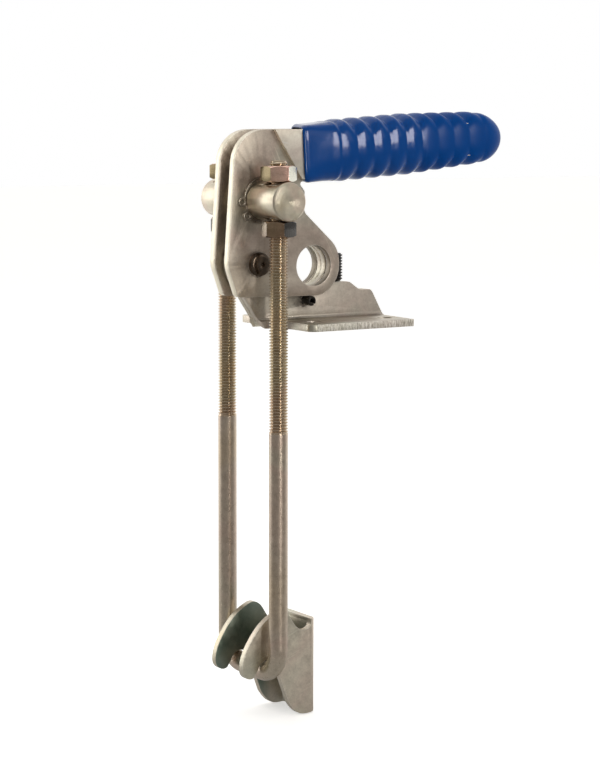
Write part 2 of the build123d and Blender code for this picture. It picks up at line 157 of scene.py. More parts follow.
class NodeMaterial(Nodes):
    """A Principled material with procedural textures in object coordinates."""

    def __init__(self, name):
        self.material = bpy.data.materials.new(name)
        self.material.use_nodes = True
        super().__init__(self.material.node_tree)
        output = self.node("ShaderNodeOutputMaterial")
        self.shader = self.node("ShaderNodeBsdfPrincipled")
        self.feed(output.inputs[0], self.shader.outputs[0])
        self.coords = self.texcoord("Object")

    def bsdf(self, **inputs):
        for key, value in inputs.items():
            self.feed(self.shader.inputs[key.replace("_", " ")], value)

    def base_color(self):
        return self.shader.inputs["Base Color"].links[0].from_socket

    def noise(self, scale, detail, rough=0.55, stretch=None, distortion=0.0, coords=None):
        coords = coords or self.coords
        if stretch is not None:
            coords = self.vector_math("MULTIPLY", coords, stretch)
        node = self.node("ShaderNodeTexNoise")
        self.feed(node.inputs["Vector"], coords)
        node.inputs["Scale"].default_value = scale
        node.inputs["Detail"].default_value = detail
        node.inputs["Roughness"].default_value = rough
        node.inputs["Distortion"].default_value = distortion
        return node.outputs[0]

    def ramp(self, factor, stops):
        node = self.node("ShaderNodeValToRGB")
        elements = node.color_ramp.elements
        while len(elements) < len(stops):
            elements.new(0.5)
        for element, (position, color) in zip(elements, stops):
            element.position = position
            element.color = (*color, 1.0)
        self.feed(node.inputs[0], factor)
        return node.outputs[0]

    def mix(self, factor, a, b, blend="MIX"):
        node = self.node("ShaderNodeMix", data_type="RGBA", blend_type=blend)
        for i, value in ((0, factor), (6, a), (7, b)):
            self.feed(node.inputs[i], value)
        return node.outputs[2]

    def bump(self, height, strength, distance, normal=None):
        node = self.node("ShaderNodeBump")
        node.inputs["Strength"].default_value = strength
        node.inputs["Distance"].default_value = distance
        self.feed(node.inputs["Height"], height)
        if normal is not None:
            self.feed(node.inputs["Normal"], normal)
        return node.outputs[0]


# ------------------------------------------------------------- zinc plating
# tints of the plating: (position in the noise, colour multiplied in)
ZINC_HUES = (
    (0.30, (1.0, 0.93, 0.74)), (0.42, (1.0, 0.99, 0.95)), (0.52, (1.0, 0.88, 0.86)),
    (0.62, (0.93, 1.0, 0.93)), (0.74, (1.0, 0.95, 0.80)),
)
TURNED_HUES = (
    (0.32, (1.0, 0.92, 0.70)), (0.48, (1.0, 0.98, 0.92)), (0.60, (1.0, 0.87, 0.84)),
    (0.72, (0.96, 1.0, 0.90)),
)
# edge colour: rubbed metal, and partly a painted highlight along the rims
RUBBED_EDGE_AND_HIGHLIGHT = (0.86, 0.83, 0.76)
# lever plates' cut edges: painted highlight on the -X rims, partly the cut metal's own brightness;
# painted shade on -X-facing cut faces such as the hole walls
CUT_EDGE_AND_HIGHLIGHT, PAINTED_CUT_SHADE = (0.91, 0.85, 0.70), (0.14, 0.12, 0.09)
BRIGHT_TEAR, DARK_TEAR = (0.95, 0.92, 0.86), (0.22, 0.20, 0.17)
TOOL_MARK = (0.35, 0.33, 0.28)


def add_scratches(m, base, light, clouds, seed):
    """Fine straight scratches, turned about Y by an angle that varies with the seed."""
    turn = m.node("ShaderNodeVectorRotate")
    turn.inputs["Axis"].default_value = (0.0, 1.0, 0.0)
    turn.inputs["Angle"].default_value = 0.6 + seed
    m.feed(turn.inputs["Vector"], m.coords)
    lines = m.noise(scale=900.0, detail=2.0, rough=0.5, stretch=(0.035, 1.0, 1.0),
                    coords=turn.outputs[0])
    amount = m.times(m.remap(lines, span=(0.66, 0.70)),
                     m.remap(clouds, span=(0.45, 0.60), to=(0.0, 0.35)))
    bright = [min(1.0, value * gain) for value, gain in zip(light, (1.5, 1.5, 1.45))]
    return m.mix(amount, base, bright)


def paint_rim_highlight_and_shade(m, base):
    """Lever plates: bright cut edges at the -X end, partly the cut metal's own brightness and
    partly painted highlight; painted shade on -X-facing cut faces further along, such as the hole
    walls.
    """
    normal = m.separate(m.texcoord("Normal"))
    place = m.separate(m.texcoord("Object"))
    cut = m.remap(m.math("ABSOLUTE", normal[1]), span=(0.35, 0.6), to=(1.0, 0.0))
    # painted highlight on the edges at the -X end
    end = m.times(cut, m.remap(place[0], span=(-0.046, -0.038), to=(0.85, 0.0)))
    base = m.mix(end, base, CUT_EDGE_AND_HIGHLIGHT)
    # painted shade on -X-facing cut faces further along
    facing = m.times(cut, m.remap(normal[0], span=(-0.1, -0.3), to=(0.0, 0.72)))
    return m.mix(m.times(facing, m.remap(place[0], span=(-0.034, -0.028))), base, PAINTED_CUT_SHADE)


def add_edge_wear_and_highlight(m, base, wear_and_highlight):
    """Brighter metal wherever a bevelled normal departs from the true one: rubbed edges, and partly
    a painted highlight along the rims.
    """
    bevel = m.node("ShaderNodeBevel", samples=4)
    bevel.inputs["Radius"].default_value = 0.0005
    geometry = m.node("ShaderNodeNewGeometry")
    agreement = m.vector_math("DOT_PRODUCT", bevel.outputs[0], geometry.outputs["Normal"])
    return m.mix(m.remap(agreement, span=(0.985, 0.86), to=(0.0, wear_and_highlight)), base, RUBBED_EDGE_AND_HIGHLIGHT)


def add_sheared_faces(m, base, rough, normal, face_y):
    """Torn, streaky metal on the faces at a distance face_y either side of Y = 0."""
    position = m.texcoord("Object")
    distance = m.math("ABSOLUTE", m.separate(position)[1])
    mask = m.remap(distance, span=(face_y - 0.00012, face_y - 0.00002))
    tear = m.noise(scale=1900.0, detail=4.0, rough=0.7, stretch=(1.0, 1.0, 0.22),
                   coords=position)
    high = m.times(mask, m.remap(tear, span=(0.40, 0.62), to=(0.0, 0.85)))
    base = m.mix(high, base, BRIGHT_TEAR)
    low = m.times(mask, m.remap(tear, span=(0.46, 0.30), to=(0.0, 0.6)))
    base = m.mix(low, base, DARK_TEAR)
    rough = m.add(rough, m.times(mask, 0.12))
    normal = m.bump(m.times(mask, tear), strength=0.9, distance=0.0003, normal=normal)
    return base, rough, normal


def zinc(name, dark, light, tint, rough, seed, streak=None, grain=1.0, wear_and_highlight=0.35,
         face_y=None, rim=False):
    """Zinc-plated steel: mottled warm grey, faint tints, fine grain, and bright edges that are
    partly rubbed metal, partly painted highlight.
    """
    m = NodeMaterial(name)
    m.coords = m.vector_math("ADD", m.coords, (seed, seed * 0.37, seed * 0.71))
    clouds = m.noise(scale=26.0, detail=2.0, rough=0.5, distortion=0.4)
    mottle = m.noise(scale=330.0, detail=5.0, rough=0.62)
    fine = m.noise(scale=2600.0, detail=3.0, rough=0.6, stretch=streak)
    spangle = m.noise(scale=1150.0, detail=3.0, rough=0.65, distortion=0.6)
    tone = m.add(m.times(mottle, 0.55), m.times(spangle, 0.45))
    base = m.mix(m.remap(tone, span=(0.34, 0.66)), dark, light)
    base = m.mix(tint, base, m.ramp(clouds, ZINC_HUES), "MULTIPLY")
    specks = m.remap(m.noise(scale=1400.0, detail=2.0, rough=0.7),
                     span=(0.62, 0.75), to=(0.0, 0.22))
    base = m.mix(specks, base, [value * gain for value, gain in zip(light, (1.25, 1.25, 1.2))])
    base = add_scratches(m, base, light, clouds, seed)
    # painted highlight and shade on the lever plates' cut edges
    if rim:
        base = paint_rim_highlight_and_shade(m, base)
    # bright edges: rubbed metal, and partly a painted highlight along the rims
    base = add_edge_wear_and_highlight(m, base, wear_and_highlight)
    roughness = m.add(m.remap(mottle, span=(0.25, 0.75), to=rough),
                      m.remap(fine, span=(0.3, 0.7), to=(-0.05, 0.07)))
    height = m.add(m.times(fine, 0.5 * grain), m.times(mottle, 0.9))
    normal = m.bump(height, strength=0.28 * grain, distance=0.00012)
    if face_y is not None:
        base, roughness, normal = add_sheared_faces(m, base, roughness, normal, face_y)
    m.bsdf(Base_Color=base, Metallic=1.0, Roughness=roughness, Normal=normal)
    return m


def keeper_zinc():
    """The keeper's zinc, with painted shade in a dark green-grey on the faces between its sides,
    except on upward faces.
    """
    m = zinc("zinc_keeper", dark=(0.54, 0.50, 0.42), light=(0.73, 0.68, 0.575), tint=0.6,
             rough=(0.32, 0.48), seed=9.2, wear_and_highlight=0.8)
    place = m.separate(m.texcoord("Object"))
    normal = m.separate(m.texcoord("Normal"))
    # painted shade, dark green-grey, on inner faces that do not point up, strongest towards -X
    inside = m.remap(m.math("ABSOLUTE", place[1]), span=(0.00945, 0.0098), to=(1.0, 0.0))
    not_up = m.remap(normal[2], span=(0.3, 0.6), to=(1.0, 0.0))
    towards_minus_x = m.remap(place[0], span=(-0.0275, -0.0235), to=(1.0, 0.25))
    inside = m.times(inside, m.times(not_up, towards_minus_x))
    patches = m.remap(m.noise(scale=60.0, detail=3.0, rough=0.6),
                      span=(0.35, 0.65), to=(0.72, 1.0))
    m.bsdf(Base_Color=m.mix(m.times(inside, patches), m.base_color(), (0.13, 0.20, 0.17)))
    return m


def nut_zinc(name, left, right, **plating):
    """Smooth zinc, with painted light and shade as set colours on the flats facing the view's left
    and right.
    """
    m = zinc(name, rough=(0.15, 0.24), grain=0.3, **plating)
    view_right = (0.839, -0.545, 0.0)
    # painted light and shade: each flat's colour follows how it faces the camera's right
    facing = m.vector_math("DOT_PRODUCT", m.texcoord("Normal"), view_right)
    base = m.mix(m.remap(facing, span=(-0.5, -0.35), to=(1.0, 0.0)), m.base_color(), left)
    m.bsdf(Base_Color=m.mix(m.remap(facing, span=(0.35, 0.5)), base, right))
    return m


# ----------------------------------------------------------- other materials
def turned(name, dark, light, centre, seed, rough):
    """Turned steel: concentric tool marks about an axis along Y through centre."""
    m = NodeMaterial(name)
    place = m.separate(m.coords)
    dx = m.math("SUBTRACT", place[0], centre[0])
    dz = m.math("SUBTRACT", place[2], centre[2])
    radius = m.math("SQRT", m.add(m.times(dx, dx), m.times(dz, dz)))
    fine_rings, coarse_rings = (
        m.math("SINE", m.times(radius, 2 * math.pi / spacing)) for spacing in (0.00042, 0.0021))
    m.coords = m.vector_math("ADD", m.coords, (seed, seed, seed))
    clouds = m.noise(scale=60.0, detail=3.0, rough=0.6)
    mottle = m.noise(scale=300.0, detail=4.0, rough=0.6)
    base = m.mix(m.remap(mottle, span=(0.3, 0.7)), dark, light)
    base = m.mix(0.7, base, m.ramp(clouds, TURNED_HUES), "MULTIPLY")
    base = m.mix(m.remap(fine_rings, span=(-1, 1), to=(0.0, 0.16)), base, TOOL_MARK)
    height = m.add(m.times(fine_rings, 0.5),
                   m.add(m.times(coarse_rings, 0.35), m.times(mottle, 0.6)))
    m.bsdf(Base_Color=base, Metallic=1.0,
           Roughness=m.remap(mottle, span=(0.25, 0.75), to=rough),
           Normal=m.bump(height, strength=0.42, distance=0.00009))
    return m


def mottled_dark(name, scale, dark, light, metallic, rough, strength, distance):
    """Dark metal whose colour, roughness and bump follow one noise."""
    m = NodeMaterial(name)
    mottle = m.noise(scale=scale, detail=4.0, rough=0.6)
    m.bsdf(Base_Color=m.mix(m.remap(mottle, span=(0.3, 0.7)), dark, light),
           Metallic=metallic, Roughness=m.remap(mottle, span=(0.3, 0.7), to=rough),
           Normal=m.bump(mottle, strength, distance))
    return m


def vinyl():
    """Glossy blue vinyl, less glossy towards the grip's tip."""
    m = NodeMaterial("blue_vinyl")
    ripple = m.noise(scale=75.0, detail=2.0, rough=0.5)
    grain = m.noise(scale=900.0, detail=3.0, rough=0.5)
    clouds = m.noise(scale=30.0, detail=2.0, rough=0.5)
    base = m.mix(m.remap(clouds, span=(0.3, 0.7)), (0.0002, 0.052, 0.250), (0.0006, 0.066, 0.300))
    height = m.add(m.times(ripple, 1.0), m.times(grain, 0.03))
    x = m.separate(m.texcoord("Object"))[0]
    matt_x = to_frame(GRIP_X + GRIP_MATT_START * math.cos(GRIP_TILT), 0.0, 0.0)[0]
    fade = (matt_x, matt_x + 0.005)
    m.bsdf(Base_Color=base, Normal=m.bump(height, strength=0.05, distance=0.0008), IOR=1.48,
           Roughness=m.remap(x, span=fade, to=(0.12, 0.34)),
           Specular_IOR_Level=m.remap(x, span=fade, to=(0.24, 0.07)),
           Coat_Roughness=0.05)
    return m


# the far bracket and far lever plate get lighter zinc than their near copies: painted light and
# shade between copies of one part
bracket_near = zinc("zinc_bracket", dark=(0.47, 0.43, 0.37), light=(0.64, 0.60, 0.525),
                    tint=0.6, rough=(0.36, 0.50), seed=1.3, face_y=BRACKET_FACE_Y)
bracket_far = zinc("zinc_bracket_far", dark=(0.50, 0.47, 0.40), light=(0.68, 0.65, 0.56),
                   tint=0.6, rough=(0.36, 0.50), seed=4.1, face_y=BRACKET_FACE_Y)
lever_near = zinc("zinc_lever_near", dark=(0.45, 0.395, 0.335), light=(0.60, 0.54, 0.465),
                  tint=0.55, rough=(0.38, 0.52), seed=7.7, wear_and_highlight=0.9, rim=True)
lever_far = zinc("zinc_lever_far", dark=(0.50, 0.455, 0.385), light=(0.68, 0.62, 0.53),
                 tint=0.55, rough=(0.38, 0.52), seed=2.9, wear_and_highlight=0.9, rim=True)
strap = zinc("zinc_strap", dark=(0.80, 0.72, 0.64), light=(0.96, 0.89, 0.80),
             tint=0.4, rough=(0.36, 0.48), seed=5.5)
keeper = keeper_zinc()
rod = zinc("zinc_rod", dark=(0.47, 0.395, 0.32), light=(0.64, 0.55, 0.46), tint=0.5,
           rough=(0.26, 0.38), streak=(1.0, 1.0, 0.08), seed=3.3, wear_and_highlight=0.0)
thread = zinc("zinc_thread", dark=(0.48, 0.385, 0.28), light=(0.66, 0.555, 0.42),
              tint=0.5, rough=(0.17, 0.28), seed=6.1, wear_and_highlight=0.3)
# the left and right flats carry painted light and shade; the lower nut is a darker copy of the
# upper nut's zinc, as painted shade
upper_nut = nut_zinc("zinc_nut", left=(0.19, 0.15, 0.085), right=(0.70, 0.69, 0.60),
                     dark=(0.68, 0.44, 0.36), light=(0.82, 0.55, 0.46), tint=0.8, seed=8.4)
lower_nut = nut_zinc("zinc_nut_lower", left=(0.72, 0.70, 0.68), right=(0.11, 0.105, 0.10),
                     dark=(0.26, 0.185, 0.12), light=(0.36, 0.26, 0.175), tint=0.7, seed=3.7)
trunnion = turned("zinc_turned_trunnion", dark=(0.60, 0.55, 0.45), light=(0.78, 0.73, 0.61),
                  centre=to_frame(UBOLT_X, 0.0, TRUNNION_Z), seed=1.9, rough=(0.30, 0.42))
bush = turned("steel_bush", dark=(0.30, 0.28, 0.25), light=(0.44, 0.41, 0.36),
              centre=to_frame(0.0, 0.0, BUSH_Z), seed=0.4, rough=(0.2, 0.34))
ring = zinc("spring_steel_ring", dark=(0.20, 0.18, 0.15), light=(0.38, 0.34, 0.28),
            tint=0.3, rough=(0.25, 0.4), seed=11.0)
pin = mottled_dark("dark_pin", scale=320.0, dark=(0.06, 0.045, 0.035),
                   light=(0.15, 0.115, 0.085), metallic=1.0, rough=(0.16, 0.34),
                   strength=0.25, distance=0.0001)
black = mottled_dark("black_oxide", scale=500.0, dark=(0.012, 0.011, 0.010),
                     light=(0.04, 0.035, 0.03), metallic=0.6, rough=(0.28, 0.5),
                     strength=0.3, distance=0.00012)
blue = vinyl()


# ------------------------------------------------------------ mesh utilities
def new_mesh(name, vertices, faces, materials):
    """A smooth-shaded object from points in pivot millimetres."""
    mesh = bpy.data.meshes.new(name)
    mesh.from_pydata([to_frame(*vertex) for vertex in vertices], [], faces)
    mesh.validate()
    obj = bpy.data.objects.new(name, mesh)
    scene.collection.objects.link(obj)
    for entry in materials:
        mesh.materials.append(entry.material)
    mesh.polygons.foreach_set("use_smooth", [True] * len(mesh.polygons))
    bm = bmesh.new()
    bm.from_mesh(mesh)
    bmesh.ops.recalc_face_normals(bm, faces=bm.faces)
    bm.to_mesh(mesh)
    bm.free()
    return obj


def join_rings(first, second, count):
    """Quads between two rings of count vertices, given their first indices."""
    return [(first + j, first + (j + 1) % count, second + (j + 1) % count, second + j)
            for j in range(count)]


def tube_faces(rings, count):
    faces = []
    for i in range(rings - 1):
        faces += join_rings(i * count, (i + 1) * count, count)
    return faces


def fan_faces(first, centre, count):
    return [(first + j, first + (j + 1) % count, centre) for j in range(count)]


def sharpen_edges(obj, degrees):
    """Marks edges sharper than this angle, so smooth shading breaks there."""
    bm = bmesh.new()
    bm.from_mesh(obj.data)
    limit = math.radians(degrees)
    for edge in bm.edges:
        if len(edge.link_faces) == 2 and edge.calc_face_angle(0.0) > limit:
            edge.smooth = False
    bm.to_mesh(obj.data)
    bm.free()


# ---------------------------------------------------------------------- grip
GRIP_SEGMENTS = 120
FIRST_RIB, RIB_PITCH = 22.6, 8.5          # s of the first crest, and crest spacing
NOSE_START = FIRST_RIB + 8 * RIB_PITCH    # the rounded nose begins on the ninth crest
LAST_GROOVE = NOSE_START + RIB_PITCH / 2
GROOVE_DEPTH = 2.05                       # above and below
COLLAR_END, COLLAR_BLEND = 14.0, 6.0      # plain collar, then its blend into the ribs
COLLAR_HALF_WIDTH, COLLAR_HALF_HEIGHT = 10.65, 12.25
MOUTH_ROUND = 2.2                         # length over which the collar narrows to the mouth
MOUTH_SLANT = 7.4                         # the mouth is cut back this much from -Y to +Y
TIP_LENGTH, TIP_RINGS = 14.0, 34          # rings crowd together over the tip
TIP_EXPONENT = 2.1                        # almost an ellipse
# rolled lip and inside of the mouth: (s, inset from the outer surface)
MOUTH_WALL = ((-0.30, 0.20), (-0.42, 0.45), (-0.36, 0.70), (-0.1, 0.86), (0.8, 0.92), (6.0, 0.92))


def crest_size(s):
    """Half width and half height over the rib crests."""
    if s > NOSE_START:
        t = (s - NOSE_START) / (GRIP_LENGTH - NOSE_START)
        return 10.9 * math.sqrt(1 - t ** 2.6), 11.7 * math.sqrt(1 - t ** 2.1)
    taper = max(0.0, s - 57.0)
    return 11.2 - taper * 0.009, 13.3 - taper * 0.0476


def groove_share(s):
    """0 on a crest, 1 in a full groove; shallower before the first rib and on the nose."""
    crest = abs(math.cos(math.pi * (s - FIRST_RIB) / RIB_PITCH))
    # rounds the groove's floor, which would otherwise be a sharp V
    crest = (math.sqrt(crest * crest + 0.016) - 0.1265) / 0.8816
    share = 1.0 - clamp01(crest)
    if s < FIRST_RIB:
        share *= 0.62 * ease(s, 16.0, 3.0)
    if s > NOSE_START:
        share *= 0.38 * (1.0 - ease(s, LAST_GROOVE, 4.2))
    return share


def grip_section(s):
    """Half width, half height, corner exponent and lift above the axis."""
    exponent = 7.0 - 3.0 * ease(s, 0.0, 12.0) - 1.15 * ease(s, 12.0, 12.0)
    lift = 0.12 - 0.5 * ease(s, 92.0, 14.0)
    side_groove = 0.36 + 0.0036 * max(0.0, s - 22.0) - 0.30 * ease(s, 59.0, 5.0)
    groove = groove_share(s)
    width, height = crest_size(s)
    width -= side_groove * groove
    height -= GROOVE_DEPTH * groove
    if s < COLLAR_END + COLLAR_BLEND:
        mouth = max(0.0, 1 - s / MOUTH_ROUND) ** 2
        collar_width = COLLAR_HALF_WIDTH + 0.15 * ease(s, 4.0, 12.0) - 0.42 * mouth
        collar_height = COLLAR_HALF_HEIGHT + 0.25 * ease(s, 4.0, 10.0) - 0.6 * mouth
        ribbed = ease(s, COLLAR_END, COLLAR_BLEND)
        width = collar_width * (1 - ribbed) + width * ribbed
        height = collar_height * (1 - ribbed) + height * ribbed
    return width, height, exponent, lift


def grip_point(s, y, lift):
    return (GRIP_X + s * math.cos(GRIP_TILT) - lift * math.sin(GRIP_TILT), y,
            GRIP_Z + s * math.sin(GRIP_TILT) + lift * math.cos(GRIP_TILT))


def grip_ring(s, width, height, exponent, lift, slant):
    """A rounded-square ring; slant is its share of the mouth's slanted cut."""
    points = []
    for j in range(GRIP_SEGMENTS):
        angle = 2 * math.pi * j / GRIP_SEGMENTS
        ca, sa = math.cos(angle), math.sin(angle)
        reach = (abs(ca) ** exponent + abs(sa) ** exponent) ** (-1.0 / exponent)
        y = width * ca * reach
        cut = max(0.0, (y + COLLAR_HALF_WIDTH) / (2 * COLLAR_HALF_WIDTH) * MOUTH_SLANT)
        points.append(grip_point(s + cut * slant, y, height * sa * reach + lift))
    return points


def build_grip():
    sections = []
    s = 0.0
    while s < GRIP_LENGTH - TIP_LENGTH:
        sections.append((s, *grip_section(s)))
        if s > COLLAR_END:
            s += 0.425
        else:
            s += 0.22 if s < 2.5 else 1.0
    for i in range(TIP_RINGS):
        t = s + (GRIP_LENGTH - s) * math.sin(i / TIP_RINGS * math.pi / 2)
        width, height, exponent, lift = grip_section(t)
        exponent += (TIP_EXPONENT - exponent) * ease(t, s, GRIP_LENGTH - s)
        sections.append((t, width, height, exponent, lift))
    vertices = []
    for section in sections:
        vertices += grip_ring(*section, slant=max(0.0, 1 - section[0] / COLLAR_END))
    faces = tube_faces(len(sections), GRIP_SEGMENTS)
    faces += fan_faces((len(sections) - 1) * GRIP_SEGMENTS, len(vertices), GRIP_SEGMENTS)
    vertices.append(grip_point(GRIP_LENGTH, 0.0, lift))
    previous = 0
    width, height, exponent, lift = grip_section(0.0)
    for s, inset in MOUTH_WALL:
        base = len(vertices)
        vertices += grip_ring(s, width - inset, height - inset * 0.95,
                              exponent + 3.0 * inset, lift, slant=1.0)
        faces += join_rings(previous, base, GRIP_SEGMENTS)
        previous = base
    faces.append(tuple(range(previous, previous + GRIP_SEGMENTS)))
    return new_mesh("grip_sleeve", vertices, faces, [blue])


grip = build_grip()
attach(grip, "lever")
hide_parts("grip")

# -------------------------------------------------------------------- U-bolt
UBOLT_SEGMENTS = 40
LEG_Y = 20.5                         # each leg's distance from Y = 0
LEG_TOP = 70.6
UBOLT_BOTTOM = -145.7                # height of the bottom run's centre line
BEND_RADIUS, BEND_STEPS = 12.0, 20
BEND_Z = UBOLT_BOTTOM + BEND_RADIUS
SHANK_RADIUS = 3.98
UBOLT_CREST, UBOLT_THREAD_DEPTH = 4.04, 0.84
THREAD_END = {-1: -41.0, 1: -38.1}   # lower end of the thread, by the leg's side in Y
RUNOUT = 1.4                         # the thread fades out this far below its end


def thread_depth(phase):
    """0 at the crest, 1 at the root, over one turn."""
    from_crest = 1 - abs(phase % 1.0 - 0.5) * 2
    x = clamp01((from_crest - 0.10) / 0.78)
    return ease(x) * 0.35 + x * 0.65


def leg_path(side):
    """Points down one leg, close together over the thread."""
    end = THREAD_END[side]
    heights = [LEG_TOP, LEG_TOP - 0.12, LEG_TOP - 0.35, LEG_TOP - 0.7]
    heights += stations(LEG_TOP - 0.8, end - 1.6, -THREAD_PITCH / 11.0)
    heights += stations(end - 1.8, BEND_Z + 2, -4.0)
    heights.append(BEND_Z)
    # the path runs down the -Y leg and up the +Y one
    return [((UBOLT_X, side * LEG_Y, z), (0, 0, side), side) for z in heights]


def ubolt_path():
    """(centre, tangent, side) along the rod; side is 0 off the legs."""
    bend_y = LEG_Y - BEND_RADIUS
    turns = [math.pi / 2 * i / BEND_STEPS for i in range(1, BEND_STEPS)]
    path = leg_path(-1)
    for a in turns:
        centre = (UBOLT_X, -bend_y - BEND_RADIUS * math.cos(a),
                  BEND_Z - BEND_RADIUS * math.sin(a))
        path.append((centre, (0, math.sin(a), -math.cos(a)), 0))
    for i in range(7):
        path.append(((UBOLT_X, -bend_y + 2 * bend_y * i / 6, UBOLT_BOTTOM), (0, 1, 0), 0))
    for a in turns:
        centre = (UBOLT_X, bend_y + BEND_RADIUS * math.sin(a),
                  BEND_Z - BEND_RADIUS * math.cos(a))
        path.append((centre, (0, math.cos(a), math.sin(a)), 0))
    return path + leg_path(1)[::-1]


def leg_radius(z, angle, thread_end):
    radius = SHANK_RADIUS
    if z > thread_end - RUNOUT:
        depth = thread_depth(z / THREAD_PITCH - angle / (2 * math.pi))
        share = clamp01((z - thread_end + RUNOUT) / 1.8)
        radius = (SHANK_RADIUS * (1 - share)
                  + (UBOLT_CREST - UBOLT_THREAD_DEPTH * depth) * share)
    chamfer = max(0.0, z - (LEG_TOP - 1.0))
    return min(radius, 4.0 - chamfer * 0.95)


def build_ubolt():
    count = UBOLT_SEGMENTS
    path = ubolt_path()
    vertices, threaded = [], []
    across = Vector((1, 0, 0))
    for centre, tangent, side in path:
        other = Vector(tangent).cross(across)
        threaded.append(side != 0 and centre[2] > THREAD_END[side] - RUNOUT)
        for j in range(count):
            turn = 2 * math.pi * j / count
            out = across * math.cos(turn) + other * math.sin(turn)
            radius = SHANK_RADIUS
            if side:
                radius = leg_radius(centre[2], math.atan2(out.y, out.x), THREAD_END[side])
            vertices.append([c + d * radius for c, d in zip(centre, out)])
    faces = tube_faces(len(path), count)
    slots = []      # 0 thread, 1 plain rod
    for here, following in zip(threaded, threaded[1:]):
        slots += [0 if here and following else 1] * count
    # slightly domed leg ends
    for first, side in ((0, -1), ((len(path) - 1) * count, 1)):
        base = len(vertices)
        y0 = side * LEG_Y
        for x, y, _ in vertices[first:first + count]:
            vertices.append((UBOLT_X + (x - UBOLT_X) * 0.55, y0 + (y - y0) * 0.55,
                             LEG_TOP + 0.10))
        vertices.append((UBOLT_X, y0, LEG_TOP + 0.12))
        faces += join_rings(first, base, count) + fan_faces(base, base + count, count)
        slots += [0] * (2 * count)
    obj = new_mesh("ubolt_threaded", vertices, faces, [thread, rod])
    obj.data.polygons.foreach_set("material_index", slots)
    return obj


ubolt = build_ubolt()
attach(ubolt, "ubolt")
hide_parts("ubolt")

# ---------------------------------------------------------- black set screw
SCREW_SEGMENTS = 48
SCREW_X, SCREW_Z, SCREW_LENGTH = 42.3, 18.35, 12.0      # stands on SCREW_Z
SCREW_CREST, SCREW_THREAD_DEPTH = 3.95, 0.72
# hexagonal socket, then its round floor: (size across from the axis, height from top, hex)
SOCKET = ((2.25, 0.0, True), (2.0, -0.25, True), (2.0, -3.6, True), (0.6, -4.2, False))


def screw_radius(z, turn):
    """Threaded radius, chamfered at both ends."""
    depth = thread_depth(z / THREAD_PITCH - turn / (2 * math.pi))
    return min(SCREW_CREST - SCREW_THREAD_DEPTH * depth, 2.75 + z * 1.1,
               3.1 + (SCREW_LENGTH - z) * 1.0)


def hexagon_radius(turn, apothem):
    return apothem / math.cos((turn + math.pi / 6) % (math.pi / 3) - math.pi / 6)


def build_screw():
    count = SCREW_SEGMENTS
    turns = [2 * math.pi * j / count for j in range(count)]
    vertices = []

    def add_ring(z, radii):
        for turn, radius in zip(turns, radii):
            vertices.append((SCREW_X + radius * math.cos(turn), radius * math.sin(turn),
                             SCREW_Z + z))

    heights = [*stations(0.0, SCREW_LENGTH, THREAD_PITCH / 12), SCREW_LENGTH]
    for z in heights:
        add_ring(z, [screw_radius(z, turn) for turn in turns])
    faces = tube_faces(len(heights), count)
    for size, dz, is_hex in SOCKET:
        previous, base = len(vertices) - count, len(vertices)
        add_ring(SCREW_LENGTH + dz,
                 [hexagon_radius(turn, size) if is_hex else size for turn in turns])
        faces += join_rings(previous, base, count)
    faces.append(tuple(range(base, base + count)))
    faces.append(tuple(reversed(range(count))))
    obj = new_mesh("stop_screw_threaded", vertices, faces, [black])
    sharpen_edges(obj, 50)
    return obj


screw = build_screw()
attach(screw, "lever")
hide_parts("stop_screw")

# --------------------------------------------------------------- CAD pieces
# piece, material, bevel width in mm, bevel segments
CAD_PIECES = (
    ("base_bracket_near", bracket_near, 0.22, 2),
    ("base_bracket_far", bracket_far, 0.22, 2),
    ("pivot_bush", bush, 0.12, 2),
    ("stop_pin", black, 0.1, 2),
    ("lever_plate_near", lever_near, 0.25, 2),
    ("lever_plate_far", lever_far, 0.25, 2),
    ("pivot_pin", pin, 0.12, 2),
    ("handle_strap", strap, 0.3, 2),
    ("trunnion", trunnion, 0.15, 2),
    ("retaining_ring_near", ring, 0.1, 2),
    ("retaining_ring_far", ring, 0.1, 2),
    ("upper_nut_near", upper_nut, 0.12, 2),
    ("upper_nut_far", upper_nut, 0.12, 2),
    ("lower_nut_near", lower_nut, 0.12, 2),
    ("lower_nut_far", lower_nut, 0.12, 2),
    ("keeper", keeper, 0.35, 3),
)


def dress(name, finish, width, segments):
    """Gives a CAD piece its material, smooth shading and softened edges."""
    obj = nodes[name]
    obj.data.materials.clear()
    obj.data.materials.append(finish.material)
    obj.data.polygons.foreach_set("use_smooth", [True] * len(obj.data.polygons))
    weld = obj.modifiers.new("weld", "WELD")
    weld.merge_threshold = 1e-6
    bevel = obj.modifiers.new("edge", "BEVEL")
    bevel.limit_method = "ANGLE"
    bevel.angle_limit = math.radians(32)
    bevel.width = width / 1000.0
    bevel.segments = segments
    bevel.harden_normals = True
    bevel.use_clamp_overlap = True


for piece in CAD_PIECES:
    dress(*piece)

# --------------------------------------------------------------------- floor
FLOOR_CELLS = 24
FLOOR_HALF_SIZE = 6.0
FLOOR_GAP = 0.0004      # clearance below the lowest point


